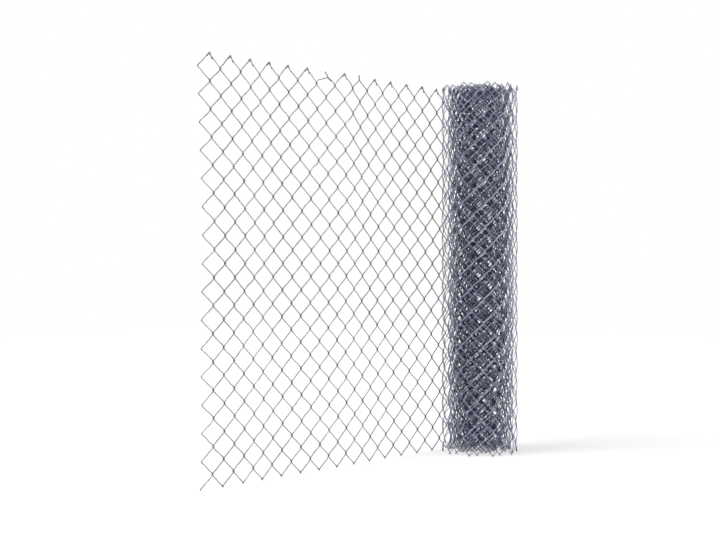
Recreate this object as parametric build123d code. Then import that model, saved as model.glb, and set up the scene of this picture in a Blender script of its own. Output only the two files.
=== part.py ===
from build123d import *
import math
import os

# A roll of galvanised chain link fabric, stood on end and partly unrolled.
# The fabric is nothing but pickets: wires bent into flat zigzags, each one
# screwed into the last, so that every bend hooks round its neighbour's bend.
# The loose sheet runs along +X to the roll, which lies on its -Y side.
# Millimetres, +Z up, resting on z = 0.

# The fabric: a 1219 mm (48 in) fabric of about 57 mm mesh.
HEIGHT = 1219.0
SPACING = 39.3
LEGS = 31

# The 2.9 mm wire, as a three sided bar of about its width. A bend reaches
# past its knot line and round its neighbour by these two amounts.
BAR_RADIUS = 1.93
HOOK_REACH = 2.9
HOOK_DEPTH = 4.0

# The two selvages: barbs at the bottom, knuckles with folded tails on top.
FOOT = 3.0
CROWN = 3.6
KNUCKLE_RISE = 1.5
TAIL = 18.0

# The first wire's foot has no partner. One knuckle has been knocked down
# and along: the tail over its right leg follows it down, and the one over
# its left leg is left standing. Another was never folded, so that both its
# tails stand up.
CUT_EDGE_END = 4.5
CRUSHED_KNOT = 13
CRUSHED_ALONG = 11.5
CRUSHED_DOWN = 16.0
CRUSHED_KINK = 9.0
CRUSHED_TAILS = {1: -28, -1: 45}
STANDING_KNOT = 17
STANDING_DOWN = 8.0
STANDING_TAIL = 12.0

# How the loose sheet stands: a slight ripple along it, a curl at its cut
# edge, a bow up and down that fades towards the roll, a top that leans, a
# wave up its height, and a dent below the crushed knuckle.
SHEET_PICKETS = 28
RIPPLE = 3.0
RIPPLE_PICKETS = 12.5
RIPPLE_START = 4.6
EDGE_CURL = 5.0
BOW = 8.0
TOP_LEAN = 14.5
LEAN_FADE_PICKETS = 9
WAVE = 3.1
WAVE_LENGTH = 575.0
DENT = 7.8
DENT_STATION = 15.5
DENT_PICKETS = 1.4

# The roll. Stations are turns from where the sheet meets it, and radii.
AXIS_X = 1113.0
OUTER_PICKETS = 17
PICKETS_PER_NODE = 5
LOOSE_TURN = [(0.0, 134.0), (0.35, 125.5), (0.9, 122.5), (1.35, 110.0)]
TURN_PITCH = 6.2
CORE_RADIUS = 32.0

leg_rise = (HEIGHT - FOOT - CROWN) / LEGS
half_width = SPACING / 2 + HOOK_REACH
meeting_radius = LOOSE_TURN[0][1]


def roll_radius(turn):
    """Distance of the fabric from the roll's axis: loose, then tightly wound."""
    for (start, outer), (end, inner) in zip(LOOSE_TURN, LOOSE_TURN[1:]):
        if turn < end:
            share = 0.5 - 0.5 * math.cos(math.pi * (turn - start) / (end - start))
            return outer + (inner - outer) * share
    return LOOSE_TURN[-1][1] - TURN_PITCH * (turn - LOOSE_TURN[-1][0])


def fabric_plan(turn):
    """Plan point of the fabric: straight before turn 0, wound clockwise after."""
    if turn < 0:
        return Vector(AXIS_X + 2 * math.pi * meeting_radius * turn, 0, 0)
    angle = math.radians(90 - 360 * turn)
    radius = roll_radius(turn)
    return Vector(AXIS_X + radius * math.cos(angle), radius * math.sin(angle) - meeting_radius, 0)


def flat_knots():
    """Plan points of the knot lines, one picket spacing apart, edge to core."""
    turn = -AXIS_X / (2 * math.pi * meeting_radius)
    knots = [fabric_plan(turn)]
    while turn < 0 or roll_radius(turn) > CORE_RADIUS:
        radius = roll_radius(max(turn, 0))
        step = SPACING / (2 * math.pi * radius)
        for _ in range(8):
            step *= SPACING / (fabric_plan(turn + step) - knots[-1]).length
        turn += step
        knots.append(fabric_plan(turn))
    return knots


def square_to(direction):
    """The level unit vector to the left of a direction."""
    return Vector(-direction.Y, direction.X, 0).normalized()


def knot_normals(points):
    """The fabric's normal at each knot line, away from the roll's axis."""
    last = len(points) - 1
    return [square_to(points[min(i + 1, last)] - points[max(i - 1, 0)]) for i in range(last + 1)]


def ripple(knot):
    """How far a knot line of the loose sheet stands out of its mean plane."""
    if knot > SHEET_PICKETS:
        return 0
    wave = math.sin(2 * math.pi * (knot - RIPPLE_START) / RIPPLE_PICKETS)
    fade = min(1, (SHEET_PICKETS - knot) / 3)
    return RIPPLE * wave * fade + EDGE_CURL * math.exp(-knot / 2)


def lean(station, z):
    """Extra offset along the normal at a height, station pickets along."""
    t = 2 * z / HEIGHT - 1
    bow = BOW * max(0, 1 - station / SHEET_PICKETS) * (t * t - 1 / 3)
    hold = min(1, max(0, 1 - (station - SHEET_PICKETS) / LEAN_FADE_PICKETS))
    wave = WAVE * hold * math.sin(2 * math.pi * z / WAVE_LENGTH)
    upper = max(0, t)
    dent = DENT * math.exp(-(((station - DENT_STATION) / DENT_PICKETS) ** 2))
    return bow - wave - dent * upper**2 * (3 - 2 * upper) + TOP_LEAN * hold * upper**3


def level(bend):
    """Height of a bend, counted from the foot."""
    return FOOT + bend * leg_rise


def flat_picket(index):
    """Centre line of picket number index, laid flat about its own middle.

    Its right hand bends go round the neighbour through two corners, and its
    left hand bends turn at one. The top ends pair up with a neighbour's on
    the odd knot lines, and the feet on the even ones.
    """
    ends_right = index % 2 == 0

    def side(bend):
        return 1 if (bend % 2 == 1) == ends_right else -1

    foot_y = -HOOK_DEPTH if side(0) > 0 else HOOK_DEPTH / 2
    foot_x = side(0) * half_width
    if index == 0:
        line = [Vector(foot_x, foot_y, CUT_EDGE_END)]
    else:
        line = [Vector(foot_x, foot_y, 0), Vector(foot_x, foot_y, level(0))]

    for bend in range(1, LEGS):
        if side(bend) > 0:
            line.append(Vector(half_width, HOOK_DEPTH, level(bend)))
            line.append(Vector(half_width, -HOOK_DEPTH, level(bend)))
        else:
            line.append(Vector(-half_width, 0, level(bend)))

    out = side(LEGS)
    before, over = (HOOK_DEPTH, -HOOK_DEPTH) if out > 0 else (0, HOOK_DEPTH)
    reach = half_width + 1
    knot = index + (out > 0)
    along, peak, tail, tail_angle = 0, level(LEGS), TAIL, -45
    if knot == STANDING_KNOT:
        peak, tail, tail_angle = peak - STANDING_DOWN, STANDING_TAIL, 82
    if knot == CRUSHED_KNOT:
        along, peak, tail_angle = CRUSHED_ALONG, peak - CRUSHED_DOWN, CRUSHED_TAILS[out]
        kink_y = 0.2 * before + 0.8 * line[-1].Y
        line.append(Vector(line[-1].X + out * CRUSHED_KINK, kink_y, line[-1].Z + CRUSHED_KINK))
    tail_x = out * tail * math.cos(math.radians(tail_angle))
    tail_z = tail * math.sin(math.radians(tail_angle))
    line.append(Vector(out * half_width + along, before, peak))
    line.append(Vector(out * reach + along, over, peak + KNUCKLE_RISE))
    line.append(Vector(out * reach + along + tail_x, over, peak + KNUCKLE_RISE + tail_z))
    return line


def standing_picket(index, knots, normals):
    """Centre line of a picket where it stands, between its two knot lines."""
    start, end = knots[index], knots[index + 1]
    along = (end - start).normalized()
    out = square_to(along)
    middle = (start + end) * 0.5
    line = []
    for point in flat_picket(index):
        share = min(1, max(0, 0.5 + point.X / SPACING))
        normal = (normals[index] * (1 - share) + normals[index + 1] * share).normalized()
        away = lean(index + share, max(point.Z, level(0)))
        place = middle + along * point.X + out * point.Y + normal * away
        line.append(place + Vector(0, 0, point.Z))
    return line


def bent_bar(line):
    """A three sided bar along a line, mitred at each bend."""
    path = Polyline(*line)
    section = Plane(origin=path @ 0, z_dir=path % 0) * RegularPolygon(BAR_RADIUS, 3)
    return sweep(section, path=path, transition=Transition.RIGHT)


flat = flat_knots()
normals = knot_normals(flat)
knots = [knot + normal * ripple(i) for i, (knot, normal) in enumerate(zip(flat, normals))]
pieces = {}

# Sheet pickets: the wires of the loose sheet, from the cut edge to the roll.
for i in range(SHEET_PICKETS):
    pieces[f"picket_{i + 1:02d}"] = [bent_bar(standing_picket(i, knots, normals))]

# Outermost turn: the next wires, which curl loosely round the roll.
outer_end = SHEET_PICKETS + OUTER_PICKETS
for i in range(SHEET_PICKETS, outer_end):
    group = "abcd"[(i - SHEET_PICKETS) // PICKETS_PER_NODE]
    pieces.setdefault(f"outer_turn_{group}", []).append(bent_bar(standing_picket(i, knots, normals)))

# Inner turns: the tight roll, with each picket flattened to a strip that
# holds as much steel as the wire does and stands where the wire stands.
strip_width = SPACING - 1.0
wire_volume = pieces["picket_02"][0].volume
strip_thickness = wire_volume / (strip_width * HEIGHT)
on_the_floor = (Align.CENTER, Align.CENTER, Align.MIN)
strip = Box(strip_width, strip_thickness, HEIGHT, align=on_the_floor)
axis = Vector(AXIS_X, -meeting_radius, 0)
wound = 0.0
for i in range(outer_end + 1, len(knots) - 1):
    chord = knots[i + 1] - knots[i]
    heading = math.degrees(math.atan2(chord.Y, chord.X))
    place = Location((knots[i] + knots[i + 1]) * 0.5, (0, 0, heading))
    pieces.setdefault(f"inner_turn_{2 + int(wound / 360):02d}", []).append(place * strip)
    wound += (knots[i] - axis).get_angle(knots[i + 1] - axis)

# The origin is the middle of the footprint.
boxes = [solid.bounding_box() for solids in pieces.values() for solid in solids]
box = boxes[0]
for other in boxes[1:]:
    box = box.add(other)
to_origin = Location((-(box.min.X + box.max.X) / 2, -(box.min.Y + box.max.Y) / 2, 0))

os.makedirs("parts", exist_ok=True)
for name, solids in pieces.items():
    placed = [to_origin * solid for solid in solids]
    export_step(placed[0] if len(placed) == 1 else Compound(children=placed), f"parts/{name}.step")

print("pickets", len(knots) - 1, "nodes", len(pieces), "size", box.size, "lowest", box.min.Z)
print("first knot line", to_origin.position + knots[0])
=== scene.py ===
import bpy
import math
import random
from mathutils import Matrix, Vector, noise


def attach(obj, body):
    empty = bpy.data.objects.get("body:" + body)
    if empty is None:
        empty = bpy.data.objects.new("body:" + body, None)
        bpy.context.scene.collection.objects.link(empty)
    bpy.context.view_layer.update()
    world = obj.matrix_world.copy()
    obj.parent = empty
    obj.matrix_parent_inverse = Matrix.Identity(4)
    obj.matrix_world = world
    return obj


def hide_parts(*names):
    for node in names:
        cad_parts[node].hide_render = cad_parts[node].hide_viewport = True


# A roll of galvanised chain link fabric, stood on end and partly unrolled. Every wire here
# is a round one that stands for a plainer bar or strip of the CAD model. Its shape is
# worked out in millimetres, and turned into metres as its mesh is made.
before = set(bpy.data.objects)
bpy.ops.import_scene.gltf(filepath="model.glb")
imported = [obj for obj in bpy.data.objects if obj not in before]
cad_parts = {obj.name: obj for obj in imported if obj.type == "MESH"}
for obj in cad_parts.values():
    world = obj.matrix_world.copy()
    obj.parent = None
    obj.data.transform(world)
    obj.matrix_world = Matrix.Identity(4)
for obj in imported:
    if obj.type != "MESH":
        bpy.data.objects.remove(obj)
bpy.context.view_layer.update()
MM = 0.001

# Camera: level, 0.63 m up and four metres off, beyond the sheet's cut edge and well in
# front of it, so that the sheet runs away from it to the roll on the right.
CAMERA_PLACE = (-3.0210, -2.5540, 0.6289)
CAMERA_TURN = -48.74
CAMERA_LENS = 65.10
CAMERA_SENSOR = 36.0
CAMERA_SHIFT = (-0.0007, -0.0097)
CAMERA_NEAR = 0.1
CAMERA_FAR = 100.0

camera_data = bpy.data.cameras.new("camera")
camera_data.lens = CAMERA_LENS
camera_data.sensor_width = CAMERA_SENSOR
camera_data.shift_x, camera_data.shift_y = CAMERA_SHIFT
camera_data.clip_start = CAMERA_NEAR
camera_data.clip_end = CAMERA_FAR
camera = bpy.data.objects.new("camera", camera_data)
camera.location = CAMERA_PLACE
camera.rotation_euler = (math.radians(90), 0, math.radians(CAMERA_TURN))
bpy.context.scene.collection.objects.link(camera)
bpy.context.scene.camera = camera
bpy.context.scene.view_settings.view_transform = "Standard"

# Studio: a white room, which the camera and the zinc both see, and a pale floor that keeps
# a soft shadow. A broad key lamp shines from the upper left of the camera, and a broader
# fill lamp comes in low from its right.
ROOM_LIGHT = 0.25
ROOM_LEVEL = 1.0
KEY_STRENGTH = 2.2
KEY_ANGLE = 40
KEY_FROM = (-1.0, 0.45, 0.9)
FILL_STRENGTH = 2.3
FILL_ANGLE = 60
FILL_FROM = (0.45, -0.95, 0.15)
FLOOR_SIZE = 14.0
FLOOR_GREY = 0.62
FLOOR_GLOW = 0.57
FLOOR_ROUGHNESS = 0.9


def seen_directly(nodes, links):
    """1 for a ray that shows the white room itself: camera, glossy or transmission."""
    path = nodes.new("ShaderNodeLightPath")
    seen = path.outputs["Is Camera Ray"]
    for name in ("Is Glossy Ray", "Is Transmission Ray"):
        larger = nodes.new("ShaderNodeMath")
        larger.operation = "MAXIMUM"
        links.new(seen, larger.inputs[0])
        links.new(path.outputs[name], larger.inputs[1])
        seen = larger.outputs[0]
    return seen


def sun(name, strength, angle, comes_from):
    """A distant lamp, whose light comes from that direction and is that many degrees wide."""
    lamp_data = bpy.data.lights.new(name, "SUN")
    lamp_data.energy = strength
    lamp_data.angle = math.radians(angle)
    lamp = bpy.data.objects.new(name, lamp_data)
    lamp.rotation_euler = Vector(comes_from).to_track_quat("Z", "Y").to_euler()
    bpy.context.scene.collection.objects.link(lamp)


world = bpy.data.worlds.new("white room")
world.use_nodes = True
bpy.context.scene.world = world
room_nodes, room_links = world.node_tree.nodes, world.node_tree.links
room = room_nodes["Background"]
room.inputs["Color"].default_value = (1, 1, 1, 1)
room_level = room_nodes.new("ShaderNodeMapRange")
room_level.inputs["To Min"].default_value = ROOM_LIGHT
room_level.inputs["To Max"].default_value = ROOM_LEVEL
room_links.new(seen_directly(room_nodes, room_links), room_level.inputs["Value"])
room_links.new(room_level.outputs["Result"], room.inputs["Strength"])

sun("key", KEY_STRENGTH, KEY_ANGLE, KEY_FROM)
sun("fill", FILL_STRENGTH, FILL_ANGLE, FILL_FROM)

floor_finish = bpy.data.materials.new("white floor")
floor_finish.use_nodes = True
floor_nodes, floor_links = floor_finish.node_tree.nodes, floor_finish.node_tree.links
floor_surface = floor_nodes["Principled BSDF"]
floor_surface.inputs["Base Color"].default_value = (FLOOR_GREY, FLOOR_GREY, FLOOR_GREY, 1)
floor_surface.inputs["Roughness"].default_value = FLOOR_ROUGHNESS
floor_surface.inputs["Specular IOR Level"].default_value = 0.0
floor_surface.inputs["Emission Color"].default_value = (1, 1, 1, 1)
floor_level = floor_nodes.new("ShaderNodeMath")
floor_level.operation = "MULTIPLY"
floor_level.inputs[1].default_value = FLOOR_GLOW
floor_links.new(seen_directly(floor_nodes, floor_links), floor_level.inputs[0])
floor_links.new(floor_level.outputs[0], floor_surface.inputs["Emission Strength"])
floor_mesh = bpy.data.meshes.new("floor")
far = FLOOR_SIZE / 2
floor_mesh.from_pydata([(-far, -far, 0), (far, -far, 0), (far, far, 0), (-far, far, 0)], [], [(0, 1, 2, 3)])
floor_mesh.materials.append(floor_finish)
floor = bpy.data.objects.new("floor", floor_mesh)
bpy.context.scene.collection.objects.link(floor)

# Loose sheet: 28 pickets of 2.9 mm galvanised steel wire, each bent into a flat zigzag on
# a blade and screwed into the last, so that each bend hooks round its neighbour's bend.
# On top the wire ends are folded down over each other, and at the bottom they are cut off.
HEIGHT = 1219.0
SPACING = 39.3
LEGS = 31
FOOT = 3.0
CROWN = 3.6
LEG_RISE = (HEIGHT - FOOT - CROWN) / LEGS
SHEET_PICKETS = 28

# Where the fabric stands: straight from its cut edge, then wound clockwise about the roll's
# axis, through these (turn, radius) stations and on inwards by an even pitch to the core.
SHEET_EDGE = Vector((-622.38, 121.59, 0))
AXIS_X = 1113.0
LOOSE_TURN = [(0.0, 134.0), (0.35, 122.5), (0.9, 126.0), (1.35, 110.0)]
TURN_PITCH = 6.2
CORE_RADIUS = 32.0
STEP_CORRECTIONS = 8

# How it strays from there: a slight ripple along the sheet, a curl at its cut edge, a bow
# up and down that fades towards the roll, a top that leans, a wave up its height, and a
# dent below the crushed knuckle.
RIPPLE = 3.0
RIPPLE_PICKETS = 12.5
RIPPLE_START = 4.6
RIPPLE_FADE_PICKETS = 3
EDGE_CURL = 5.0
EDGE_CURL_PICKETS = 2
BOW = 8.0
TOP_LEAN = 14.5
LEAN_FADE_PICKETS = 9
WAVE = 3.1
WAVE_LENGTH = 575.0
DENT = 7.8
DENT_STATION = 15.5
DENT_PICKETS = 1.4

# How far the wires have been pulled off their even places in the sheet and in the roll,
# over what distance along and up the fabric that pull changes, and how near the edges it
# stops moving them up and down.
SHEET_DRIFT = 1.0
ROLL_DRIFT = 0.9
DRIFT_FADE_PICKETS = 6
DRIFT_PICKETS = 2.5
DRIFT_HEIGHT = 85
DRIFT_SEED = 7
DRIFT_EDGE = 60

# In the roll each picket leans along the fabric by ROLL_SKEW in all, and the turns have
# crept up and down past each other by the (picket, millimetres) amounts of ROLL_LIFT,
# which ease off towards both edges. Feet well inside it stand off the floor by ROLL_STAND.
ROLL_SKEW = 22.0
ROLL_SKEW_PICKETS = 12
ROLL_LIFT = [(28, 0), (41, 0), (60, 25), (76, 18), (92, -8), (107, 22), (120, -19), (133, -6)]
ROLL_LIFT_EDGE = 240.0
ROLL_STAND = [(60, 0), (75, 8)]


def held(value):
    """The value, kept between 0 and 1."""
    return min(1, max(0, value))


def eased(stages, at):
    """A value that runs smoothly from one (place, value) pair to the next."""
    if at <= stages[0][0]:
        return stages[0][1]
    for (start, first), (end, second) in zip(stages, stages[1:]):
        if at < end:
            share = 0.5 - 0.5 * math.cos(math.pi * (at - start) / (end - start))
            return first + (second - first) * share
    return stages[-1][1]


def roll_radius(turn):
    """Distance of the fabric from the roll's axis: loose, then tightly wound."""
    return eased(LOOSE_TURN, turn) - TURN_PITCH * max(0, turn - LOOSE_TURN[-1][0])


def fabric_plan(turn):
    """Plan point of the fabric: straight before turn 0, wound clockwise after."""
    meeting_radius = LOOSE_TURN[0][1]
    if turn < 0:
        return Vector((AXIS_X + 2 * math.pi * meeting_radius * turn, 0, 0))
    angle = math.radians(90 - 360 * turn)
    radius = roll_radius(turn)
    return Vector((AXIS_X + radius * math.cos(angle), radius * math.sin(angle) - meeting_radius, 0))


def flat_knots():
    """Plan points of the knot lines, one picket spacing apart, edge to core."""
    turn = -AXIS_X / (2 * math.pi * LOOSE_TURN[0][1])
    points = [fabric_plan(turn)]
    while turn < 0 or roll_radius(turn) > CORE_RADIUS:
        step = SPACING / (2 * math.pi * roll_radius(max(turn, 0)))
        for _ in range(STEP_CORRECTIONS):
            step *= SPACING / (fabric_plan(turn + step) - points[-1]).length
        turn += step
        points.append(fabric_plan(turn))
    return points


def knot_normals(points):
    """The fabric's level normal at each knot line, away from the roll's axis."""
    last = len(points) - 1
    runs = [points[min(i + 1, last)] - points[max(i - 1, 0)] for i in range(last + 1)]
    return [Vector((-run.y, run.x, 0)).normalized() for run in runs]


def ripple(knot):
    """How far a knot line of the loose sheet stands out of its mean plane."""
    if knot > SHEET_PICKETS:
        return 0
    wave = math.sin(2 * math.pi * (knot - RIPPLE_START) / RIPPLE_PICKETS)
    fade = min(1, (SHEET_PICKETS - knot) / RIPPLE_FADE_PICKETS)
    return RIPPLE * wave * fade + EDGE_CURL * math.exp(-knot / EDGE_CURL_PICKETS)


def lean(station, z):
    """Offset along the normal at a height: the sheet's bow, wave and dent, and its leaning top."""
    t = 2 * z / HEIGHT - 1
    bow = BOW * max(0, 1 - station / SHEET_PICKETS) * (t * t - 1 / 3)
    hold = held(1 - (station - SHEET_PICKETS) / LEAN_FADE_PICKETS)
    wave = WAVE * hold * math.sin(2 * math.pi * z / WAVE_LENGTH)
    upper = max(0, t)
    dent = DENT * math.exp(-(((station - DENT_STATION) / DENT_PICKETS) ** 2))
    return bow - wave - dent * upper**2 * (3 - 2 * upper) + TOP_LEAN * hold * upper**3


noise.seed_set(DRIFT_SEED)
flat = flat_knots()
normals = knot_normals(flat)
knots = [knot + normal * ripple(i) for i, (knot, normal) in enumerate(zip(flat, normals))]


def clear_of_edges(z, distance):
    """0 at the foot and the top of the fabric, and 1 from that distance inwards."""
    return min(1, z / distance, (HEIGHT - z) / distance)


def in_fabric(station, out, z):
    """A place in the fabric: pickets along it, out of it towards its outside, and up."""
    into_roll = station - SHEET_PICKETS
    pull = SHEET_DRIFT + (ROLL_DRIFT - SHEET_DRIFT) * held(into_roll / DRIFT_FADE_PICKETS)
    drift = noise.noise_vector(Vector((station / DRIFT_PICKETS, z / DRIFT_HEIGHT, 0)))
    station -= ROLL_SKEW * held(into_roll / ROLL_SKEW_PICKETS) * (z / HEIGHT - 0.5) / SPACING
    if station > SHEET_PICKETS:
        lift = eased(ROLL_LIFT, station) * clear_of_edges(z, ROLL_LIFT_EDGE)
        z += lift + eased(ROLL_STAND, station) * (1 - z / HEIGHT)
    station += drift.x * pull / SPACING
    out += drift.y * pull
    z += drift.z * pull * clear_of_edges(z, DRIFT_EDGE)
    bay = min(max(int(station), 0), len(knots) - 2)
    share = station - bay
    between = held(share)
    normal = (normals[bay] * (1 - between) + normals[bay + 1] * between).normalized()
    place = knots[bay] * (1 - share) + knots[bay + 1] * share
    place += normal * (out + lean(bay + between, max(z, FOOT))) + SHEET_EDGE
    return Vector((place.x, place.y, z))


def level(bend):
    """Height of a bend, counted from the foot."""
    return FOOT + bend * LEG_RISE


# One hook: how far its wire reaches past the knot line, lies off the fabric's middle, and
# runs upright beside its partner, and how round its two corners are. The sheet's wire is
# drawn a little over its real thickness, with which it looks too faint.
WIRE_RADIUS = 1.62
HOOK_REACH = 1.5
HOOK_DEPTH = 1.6
HOOK_HALF_HEIGHT = 1.6
HOOK_ROUND = 2.5

# The two edges: where two feet cross above the floor, and where two top ends cross below
# the level of their bend. The roll's tops stand a little higher and unevenly, and those
# well inside it sink by the (picket, millimetres) amounts of TOP_SINK.
FOOT_CROSSING = 5.2
FLOOR_CLEARANCE = 0.1
KNUCKLE_DROP = 3.2
TOP_RAISE = 2.2
TOP_UNEVEN = 3.0
TOP_UNEVEN_STEP = 2.4
TOP_SINK = [(62, 0), (74, 5)]

# The folded ends differ in length and in how far they stand proud. One knuckle has been
# knocked down and along, and one pair of ends was never folded. Each point of an end is
# (along the fabric, towards its outside, up, roundness), from where the two ends cross.
END_LENGTHS = (0.85, 1.1)
END_PROUDNESS = (0.75, 1.15)
CRUSHED_KNOT = 13
CRUSHED_RIGHT_END = [(11.5, 0, -15, 1.5), (14.5, 3.0, -15.5, 0.5), (26.0, 3.2, -23.5, 0)]
CRUSHED_LEFT_END = [(9.0, -0.8, -13.5, 1.5), (6.5, -3.0, -10.0, 2.0), (-4.5, -3.2, 1.0, 0)]
CRUSHED_KINK = 7.0
CRUSHED_KINK_ROUND = 3.0
STANDING_KNOT = 17


def top_end(knot, hand, chance):
    """Points of the top end of a picket whose last bend is its right (1) or left (-1) one."""
    long = chance.uniform(*END_LENGTHS)
    proud = chance.uniform(*END_PROUDNESS)
    if knot == CRUSHED_KNOT:
        return CRUSHED_RIGHT_END if hand > 0 else CRUSHED_LEFT_END
    if knot == STANDING_KNOT:
        return [(1.6 * hand, 0, -7.0, 1.5), (1.0 * hand, 1.8 * hand, 6.5 - hand, 0)]
    if hand > 0:
        over = (9.0 * proud, 3.0, -0.5, 4.0)
        return [(1.8, -0.4, 5.2, 1.0), over, (15.0 * long, 4.0, -13.5 * long, 0)]
    return [(-2.3 * proud, 0, 2.6, 1.7), (-9.0 * long, -3.8, -5.5 * long, 0)]


def picket_line(index, leg_steps, chance):
    """Centre line of a picket, foot to top, as (place, roundness, slack, face) at each point.

    Its right hand bends go from the near side of the fabric to the far side on their way
    up, and its left hand ones come back, so that the legs that rise to the left lie on the
    far side, which is the roll's outside. Slack is 0 in a hook and 1 between two hooks.
    Face is 1 on the far side's legs, 0 on the near side's and a half in a hook.
    """
    ends_right = index % 2 == 0

    def side(bend):
        return 1 if (bend % 2 == 1) == ends_right else -1

    def spot(hand, across, out, z):
        return index + (hand > 0) + across / SPACING, out, z

    foot_side = side(0)
    run = (FOOT_CROSSING - WIRE_RADIUS) * SPACING / LEG_RISE
    foot = spot(foot_side, foot_side * run, foot_side * HOOK_DEPTH, WIRE_RADIUS + FLOOR_CLEARANCE)
    corners = [(foot, 0)]
    for bend in range(1, LEGS):
        hand = side(bend)
        for end in (-1, 1):
            z = level(bend) + end * HOOK_HALF_HEIGHT
            corners.append((spot(hand, hand * HOOK_REACH, end * hand * HOOK_DEPTH, z), HOOK_ROUND))
    hand = side(LEGS)
    top = level(LEGS) - KNUCKLE_DROP
    knot = index + (hand > 0)
    if knot > SHEET_PICKETS:
        unevenness = 0.5 + 0.5 * math.sin(knot * TOP_UNEVEN_STEP)
        top += TOP_RAISE - TOP_UNEVEN * unevenness - eased(TOP_SINK, knot)
    if knot == CRUSHED_KNOT:
        station, out, z = corners[-1][0]
        kink = (station + hand * CRUSHED_KINK / SPACING, out, z + CRUSHED_KINK)
        corners.append((kink, CRUSHED_KINK_ROUND))
    for across, out, up, roundness in top_end(knot, hand, chance):
        corners.append((spot(hand, across, out, top + up), roundness))

    line = []
    for number, (place, roundness) in enumerate(corners):
        ends_a_leg = number % 2 == 1 and number < 2 * LEGS
        if ends_a_leg:
            before = corners[number - 1][0]
            face = 1.0 if side((number + 1) // 2) < 0 else 0.0
            for step in range(1, leg_steps + 1):
                share = step / (leg_steps + 1)
                between = [a + (b - a) * share for a, b in zip(before, place)]
                line.append((in_fabric(*between), 0.0, 1.0, face))
        line.append((in_fabric(*place), roundness, 0.0, 0.5))
    return line


# The wire's coat: dull zinc with lighter and darker patches and fine grains, from wire to
# wire a little lighter or darker. Painted light makes it lighter on the fabric's outside and
# darker on its inside. Where two hooks meet it has painted shade in the sheet and a painted
# highlight in the roll, and deep in the roll it is darkened by painted shade. The cut ends
# are bare steel. Sizes are in metres.
PATCH_SIZE = 0.016
PATCH_RANGE = (0.35, 0.65)
PATCH_DARKNESS = 0.75
GRAIN_SIZE = 0.0016
GRAIN_CONTRAST = 0.18
GRAIN_HEIGHT = 0.4
PIMPLE_SIZE = 0.0005
WIRE_CONTRAST = 0.25
# Painted light: how much lighter the far face's legs are, and how much darker the near face's.
FACE_PAINTED_LIGHT = 0.3
HOOK_TONE_END = 0.6
ROUGHNESS_RANGE = (0.3, 0.7)
ROUGHNESS = (0.36, 0.5)
GRAIN_ROUGHNESS = 0.05
METALLIC = 0.85
SPECULAR = 0.4
BUMP_STRENGTH = 0.35
BUMP_DEPTH = 0.0001
BARE_STEEL = (0.10, 0.095, 0.09)


def new_group(name, kind, inputs, outputs):
    """A node group with named sockets: (name, socket type, default or None) each."""
    tree = bpy.data.node_groups.new(name, kind)
    for in_out, sockets in (("INPUT", inputs), ("OUTPUT", outputs)):
        for socket_name, socket_type, value in sockets:
            made = tree.interface.new_socket(socket_name, in_out=in_out, socket_type=socket_type)
            if value is not None:
                made.default_value = value
    return tree, tree.nodes.new("NodeGroupInput"), tree.nodes.new("NodeGroupOutput")


def socket_of(node, name, side="inputs"):
    """The enabled socket of that name, where a node has several of one name."""
    return next(s for s in getattr(node, side) if s.name == name and s.enabled)


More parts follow.
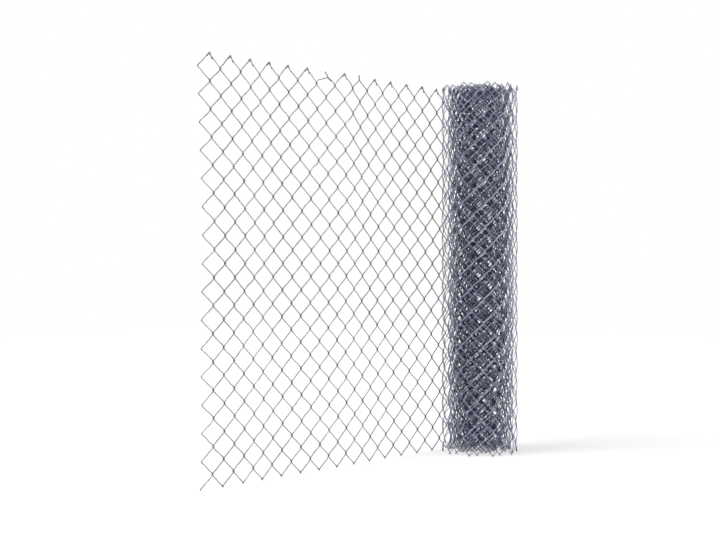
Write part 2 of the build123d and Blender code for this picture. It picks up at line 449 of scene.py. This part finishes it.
def zinc_coat_group():
    """Colour, roughness and height of hot dipped zinc on a wire, with painted light and shade on it."""
    tree, given, result = new_group(
        "zinc coat",
        "ShaderNodeTree",
        [
            ("Light zinc", "NodeSocketColor", (0.5, 0.5, 0.5, 1)),
            ("Dark zinc", "NodeSocketColor", (0.3, 0.3, 0.3, 1)),
            ("Painted shade zinc", "NodeSocketColor", (0.05, 0.05, 0.06, 1)),
            ("Bare steel", "NodeSocketColor", (0.1, 0.1, 0.1, 1)),
            ("Hook painted shade", "NodeSocketFloat", 0.0),
        ],
        [
            ("Color", "NodeSocketColor", None),
            ("Roughness", "NodeSocketFloat", None),
            ("Height", "NodeSocketFloat", None),
        ],
    )
    nodes, links = tree.nodes, tree.links
    place = nodes.new("ShaderNodeTexCoord").outputs["Object"]

    def mottle(size, detail):
        node = nodes.new("ShaderNodeTexNoise")
        node.inputs["Scale"].default_value = 1 / size
        node.inputs["Detail"].default_value = detail
        links.new(place, node.inputs["Vector"])
        return node.outputs["Fac"]

    def ranged(value, low, high, to_low, to_high):
        node = nodes.new("ShaderNodeMapRange")
        for name, number in zip(("From Min", "From Max", "To Min", "To Max"), (low, high, to_low, to_high)):
            node.inputs[name].default_value = number
        links.new(value, node.inputs["Value"])
        return node.outputs["Result"]

    def combined(first, second, operation="ADD"):
        node = nodes.new("ShaderNodeMath")
        node.operation = operation
        links.new(first, node.inputs[0])
        links.new(second, node.inputs[1])
        return node.outputs[0]

    def blended(share, first, second):
        node = nodes.new("ShaderNodeMix")
        node.data_type = "RGBA"
        links.new(share, node.inputs["Factor"])
        links.new(first, socket_of(node, "A"))
        links.new(second, socket_of(node, "B"))
        return socket_of(node, "Result", "outputs")

    def attribute(name):
        node = nodes.new("ShaderNodeAttribute")
        node.attribute_name = name
        return node.outputs["Fac"]

    patches = mottle(PATCH_SIZE, 3)
    grains = nodes.new("ShaderNodeTexVoronoi")
    grains.inputs["Scale"].default_value = 1 / GRAIN_SIZE
    links.new(place, grains.inputs["Vector"])
    grain_tone = nodes.new("ShaderNodeSeparateColor")
    links.new(grains.outputs["Color"], grain_tone.inputs["Color"])
    pimples = mottle(PIMPLE_SIZE, 2)

    darkness = ranged(patches, *PATCH_RANGE, 0.0, PATCH_DARKNESS)
    darkness = combined(darkness, ranged(grain_tone.outputs[0], 0, 1, -GRAIN_CONTRAST, GRAIN_CONTRAST))
    darkness = combined(darkness, ranged(attribute("wire_tone"), 0, 1, -WIRE_CONTRAST, WIRE_CONTRAST))
    in_hook = ranged(attribute("slack"), 0, HOOK_TONE_END, 1.0, 0.0)
    # Painted shade in the sheet's hooks; a value below nought paints a highlight in the roll's hooks.
    darkness = combined(darkness, combined(in_hook, given.outputs["Hook painted shade"], "MULTIPLY"))
    # Painted light: legs on the fabric's far face, the roll's outside, lighter, and those on its near face
    # darker.
    darkness = combined(darkness, ranged(attribute("face"), 0, 1, FACE_PAINTED_LIGHT, -FACE_PAINTED_LIGHT))
    zinc = blended(darkness, given.outputs["Light zinc"], given.outputs["Dark zinc"])
    # Painted shade: the inner turns blend towards the deep tone, the more the deeper their turn.
    zinc = blended(attribute("depth"), zinc, given.outputs["Painted shade zinc"])
    colour = blended(attribute("cut"), zinc, given.outputs["Bare steel"])
    links.new(colour, result.inputs["Color"])
    roughness = ranged(patches, *ROUGHNESS_RANGE, *ROUGHNESS)
    grain_roughness = ranged(grain_tone.outputs[1], 0, 1, -GRAIN_ROUGHNESS, GRAIN_ROUGHNESS)
    links.new(combined(roughness, grain_roughness), result.inputs["Roughness"])
    height = combined(pimples, ranged(grain_tone.outputs[0], 0, 1, 0, GRAIN_HEIGHT))
    links.new(height, result.inputs["Height"])
    return tree


zinc_coat = zinc_coat_group()


def zinc_finish(name, light, dark, hook_painted_shade, deep=(0, 0, 0)):
    """A zinc material whose patches run between two tones, and to a third, painted shade, deep inside the
    roll.
    """
    material = bpy.data.materials.new(name)
    material.use_nodes = True
    nodes, links = material.node_tree.nodes, material.node_tree.links
    surface = nodes["Principled BSDF"]
    surface.inputs["Metallic"].default_value = METALLIC
    surface.inputs["Specular IOR Level"].default_value = SPECULAR
    coat = nodes.new("ShaderNodeGroup")
    coat.node_tree = zinc_coat
    coat.inputs["Light zinc"].default_value = (*light, 1)
    coat.inputs["Dark zinc"].default_value = (*dark, 1)
    coat.inputs["Painted shade zinc"].default_value = (*deep, 1)
    coat.inputs["Bare steel"].default_value = (*BARE_STEEL, 1)
    coat.inputs["Hook painted shade"].default_value = hook_painted_shade
    bump = nodes.new("ShaderNodeBump")
    bump.inputs["Strength"].default_value = BUMP_STRENGTH
    bump.inputs["Distance"].default_value = BUMP_DEPTH
    links.new(coat.outputs["Color"], surface.inputs["Base Color"])
    links.new(coat.outputs["Roughness"], surface.inputs["Roughness"])
    links.new(coat.outputs["Height"], bump.inputs["Height"])
    links.new(bump.outputs["Normal"], surface.inputs["Normal"])
    return material


# The wire itself: drawn along its centre line, with each leg bowed a little by itself, as
# handling leaves it. Near the floor the bow is level only, so that no foot sinks into it.
# Sizes are in metres.
LEG_BOW = 0.006
LEG_BOW_LENGTH = 0.030
LEG_BOW_SEED = 3.0
LEG_BOW_SPREAD = 9.7
LEVEL_BELOW = 0.06


def drawn_wire_tree():
    """Geometry nodes that turn centre lines into round, slightly crooked wires."""
    tree, given, result = new_group(
        "drawn wire",
        "GeometryNodeTree",
        [
            ("Centre lines", "NodeSocketGeometry", None),
            ("Wire radius", "NodeSocketFloat", 0.001),
            ("Sides", "NodeSocketInt", 8),
            ("Bend steps", "NodeSocketInt", 2),
            ("Leg bow", "NodeSocketFloat", 0.001),
            ("Seed", "NodeSocketFloat", 0.0),
            ("Finish", "NodeSocketMaterial", None),
        ],
        [("Wires", "NodeSocketGeometry", None)],
    )
    nodes, links = tree.nodes, tree.links

    def attribute(name):
        node = nodes.new("GeometryNodeInputNamedAttribute")
        node.inputs["Name"].default_value = name
        return node.outputs["Attribute"]

    def joined(kind, operation, first, second):
        node = nodes.new(kind)
        node.operation = operation
        second_slot = node.inputs["Scale"] if operation == "SCALE" else node.inputs[1]
        links.new(first, node.inputs[0])
        if isinstance(second, bpy.types.NodeSocket):
            links.new(second, second_slot)
        else:
            second_slot.default_value = second
        return next(s for s in node.outputs if s.enabled)

    def wander(length, amount, seed):
        """A smooth random offset, evenly about nought in each direction."""
        node = nodes.new("ShaderNodeTexNoise")
        node.noise_dimensions = "4D"
        node.inputs["Scale"].default_value = 1 / length
        node.inputs["Detail"].default_value = 1.0
        links.new(nodes.new("GeometryNodeInputPosition").outputs["Position"], node.inputs["Vector"])
        links.new(seed, node.inputs["W"])
        centred = joined("ShaderNodeVectorMath", "SUBTRACT", node.outputs["Color"], (0.5, 0.5, 0.5))
        return joined("ShaderNodeVectorMath", "SCALE", centred, amount)

    # Between two hooks each leg bows by itself.
    own_amount = joined("ShaderNodeMath", "MULTIPLY", attribute("slack"), given.outputs["Leg bow"])
    own_seed = joined("ShaderNodeMath", "ADD", attribute("wire_tone"), given.outputs["Seed"])
    own_seed = joined("ShaderNodeMath", "MULTIPLY", own_seed, LEG_BOW_SPREAD)
    offset = wander(LEG_BOW_LENGTH, own_amount, own_seed)

    # The floor holds the feet level.
    height = nodes.new("ShaderNodeSeparateXYZ")
    links.new(nodes.new("GeometryNodeInputPosition").outputs["Position"], height.inputs[0])
    free = nodes.new("ShaderNodeMapRange")
    free.inputs["From Max"].default_value = LEVEL_BELOW
    links.new(height.outputs["Z"], free.inputs["Value"])
    freedom = nodes.new("ShaderNodeCombineXYZ")
    freedom.inputs["X"].default_value = 1.0
    freedom.inputs["Y"].default_value = 1.0
    links.new(free.outputs["Result"], freedom.inputs["Z"])
    offset = joined("ShaderNodeVectorMath", "MULTIPLY", offset, freedom.outputs[0])

    # A round section is swept along the line, with its hooks' corners rounded.
    crooked = nodes.new("GeometryNodeSetPosition")
    links.new(given.outputs["Centre lines"], crooked.inputs["Geometry"])
    links.new(offset, crooked.inputs["Offset"])
    line = nodes.new("GeometryNodeMeshToCurve")
    links.new(crooked.outputs["Geometry"], line.inputs["Mesh"])
    rounded = nodes.new("GeometryNodeFilletCurve")
    rounded.mode = "POLY"
    rounded.inputs["Limit Radius"].default_value = True
    links.new(line.outputs["Curve"], rounded.inputs["Curve"])
    links.new(attribute("roundness"), rounded.inputs["Radius"])
    links.new(given.outputs["Bend steps"], rounded.inputs["Count"])
    section = nodes.new("GeometryNodeCurvePrimitiveCircle")
    links.new(given.outputs["Sides"], section.inputs["Resolution"])
    links.new(given.outputs["Wire radius"], section.inputs["Radius"])
    wire = nodes.new("GeometryNodeCurveToMesh")
    wire.inputs["Fill Caps"].default_value = True
    links.new(rounded.outputs["Curve"], wire.inputs["Curve"])
    links.new(section.outputs["Curve"], wire.inputs["Profile Curve"])
    smooth = nodes.new("GeometryNodeSetShadeSmooth")
    links.new(wire.outputs["Mesh"], smooth.inputs["Geometry"])
    real = nodes.new("GeometryNodeRealizeInstances")
    links.new(smooth.outputs["Geometry"], real.inputs["Geometry"])
    finished = nodes.new("GeometryNodeSetMaterial")
    links.new(real.outputs["Geometry"], finished.inputs["Geometry"])
    links.new(given.outputs["Finish"], finished.inputs["Material"])
    links.new(finished.outputs["Geometry"], result.inputs["Wires"])
    return tree


drawn_wire = drawn_wire_tree()


def make_wires(name, lines, finish, radius, sides, bend_steps, chance, depth=0.0):
    """Wires drawn along centre lines, as one piece that stands for the CAD node it names."""
    places, edges, roundness, slack, face, cut, tone = [], [], [], [], [], [], []
    for line in lines:
        first = len(places)
        wire_tone = chance.random()
        for number, (place, bend, free, facing) in enumerate(line):
            places.append(place * MM)
            roundness.append(bend * MM)
            slack.append(free)
            face.append(facing)
            cut.append(1.0 if number in (0, len(line) - 1) else 0.0)
            tone.append(wire_tone)
        edges += [(k, k + 1) for k in range(first, len(places) - 1)]
    mesh = bpy.data.meshes.new(name)
    mesh.from_pydata(places, edges, [])
    for label, values in (
        ("roundness", roundness),
        ("slack", slack),
        ("face", face),
        ("cut", cut),
        ("wire_tone", tone),
        ("depth", [depth] * len(places)),
    ):
        mesh.attributes.new(label, "FLOAT", "POINT").data.foreach_set("value", values)
    piece = bpy.data.objects.new(name + "_wire", mesh)
    bpy.context.scene.collection.objects.link(piece)
    sweep = piece.modifiers.new("drawn wire", "NODES")
    sweep.node_group = drawn_wire
    given = {
        "Wire radius": radius * MM,
        "Sides": sides,
        "Bend steps": bend_steps,
        "Leg bow": LEG_BOW,
        "Seed": LEG_BOW_SEED,
        "Finish": finish,
    }
    for item in drawn_wire.interface.items_tree:
        if item.name in given and item.in_out == "INPUT":
            sweep[item.identifier] = given[item.name]
    made = bpy.data.meshes.new_from_object(piece.evaluated_get(bpy.context.evaluated_depsgraph_get()))
    made.name = name
    piece.modifiers.remove(sweep)
    piece.data = made
    bpy.data.meshes.remove(mesh)
    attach(piece, "root")
    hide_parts(name)


# The sheet's pickets, in a neutral grey coat with painted shade in its hooks.
SHEET_LIGHT_ZINC = (0.33, 0.33, 0.34)
SHEET_DARK_ZINC = (0.14, 0.14, 0.145)
SHEET_HOOK_PAINTED_SHADE = 0.3
WIRE_SIDES = 8
WIRE_BEND_STEPS = 2
WIRE_LEG_STEPS = 2
CHANCE_SEED = 41

sheet_zinc = zinc_finish("sheet zinc", SHEET_LIGHT_ZINC, SHEET_DARK_ZINC, SHEET_HOOK_PAINTED_SHADE)
chance = random.Random(CHANCE_SEED)
for i in range(SHEET_PICKETS):
    line = picket_line(i, WIRE_LEG_STEPS, chance)
    make_wires(f"picket_{i + 1:02d}", [line], sheet_zinc, WIRE_RADIUS, WIRE_SIDES, WIRE_BEND_STEPS, chance)

# Outermost turn: the next 17 pickets of the same galvanised fabric, curled loosely round
# the roll and hooked into the sheet's last one. Their coat has kept a bluer sheen and has a
# painted highlight at its hooks, and its wire is drawn a little under its real thickness.
OUTER_PICKETS = 17
PICKETS_PER_NODE = 5
ROLL_WIRE_RADIUS = 1.3
ROLL_LIGHT_ZINC = (0.36, 0.395, 0.505)
ROLL_DARK_ZINC = (0.16, 0.185, 0.265)
# The deep tone is painted shade for the roll's inner turns.
ROLL_PAINTED_SHADE_ZINC = (0.045, 0.052, 0.095)
# Below nought: a painted highlight at the roll's hooks.
ROLL_HOOK_PAINTED_SHADE = -0.1

roll_zinc = zinc_finish("roll zinc", ROLL_LIGHT_ZINC, ROLL_DARK_ZINC, ROLL_HOOK_PAINTED_SHADE, ROLL_PAINTED_SHADE_ZINC)
outer_end = SHEET_PICKETS + OUTER_PICKETS
for first in range(SHEET_PICKETS, outer_end, PICKETS_PER_NODE):
    letter = "abcd"[(first - SHEET_PICKETS) // PICKETS_PER_NODE]
    members = range(first, min(first + PICKETS_PER_NODE, outer_end))
    lines = [picket_line(i, WIRE_LEG_STEPS, chance) for i in members]
    name = f"outer_turn_{letter}"
    make_wires(name, lines, roll_zinc, ROLL_WIRE_RADIUS, WIRE_SIDES, WIRE_BEND_STEPS, chance)

# Inner turns: the rest of the same fabric, wound tight round an open core. Each turn is
# one piece of whole pickets, hooked into each other and into the next turn's, and carries
# painted shade, darker than the one outside it down to the sixth, where little light gets.
FIRST_INNER_TURN = 2
DARK_TURNS = 5
INNER_SIDES = 6
INNER_BEND_STEPS = 1
INNER_LEG_STEPS = 1

axis = Vector((AXIS_X, -LOOSE_TURN[0][1], 0))
turns = {}
wound = 0.0
for i in range(outer_end, len(knots) - 1):
    turn = FIRST_INNER_TURN + int(wound / 360)
    turns.setdefault(turn, []).append(picket_line(i, INNER_LEG_STEPS, chance))
    if i > outer_end:
        wound += math.degrees((knots[i] - axis).angle(knots[i + 1] - axis))
for turn, lines in turns.items():
    # Painted shade, deepening from turn to turn down to the sixth.
    depth = min(1, (turn - 1) / DARK_TURNS)
    name = f"inner_turn_{turn:02d}"
    make_wires(name, lines, roll_zinc, ROLL_WIRE_RADIUS, INNER_SIDES, INNER_BEND_STEPS, chance, depth)
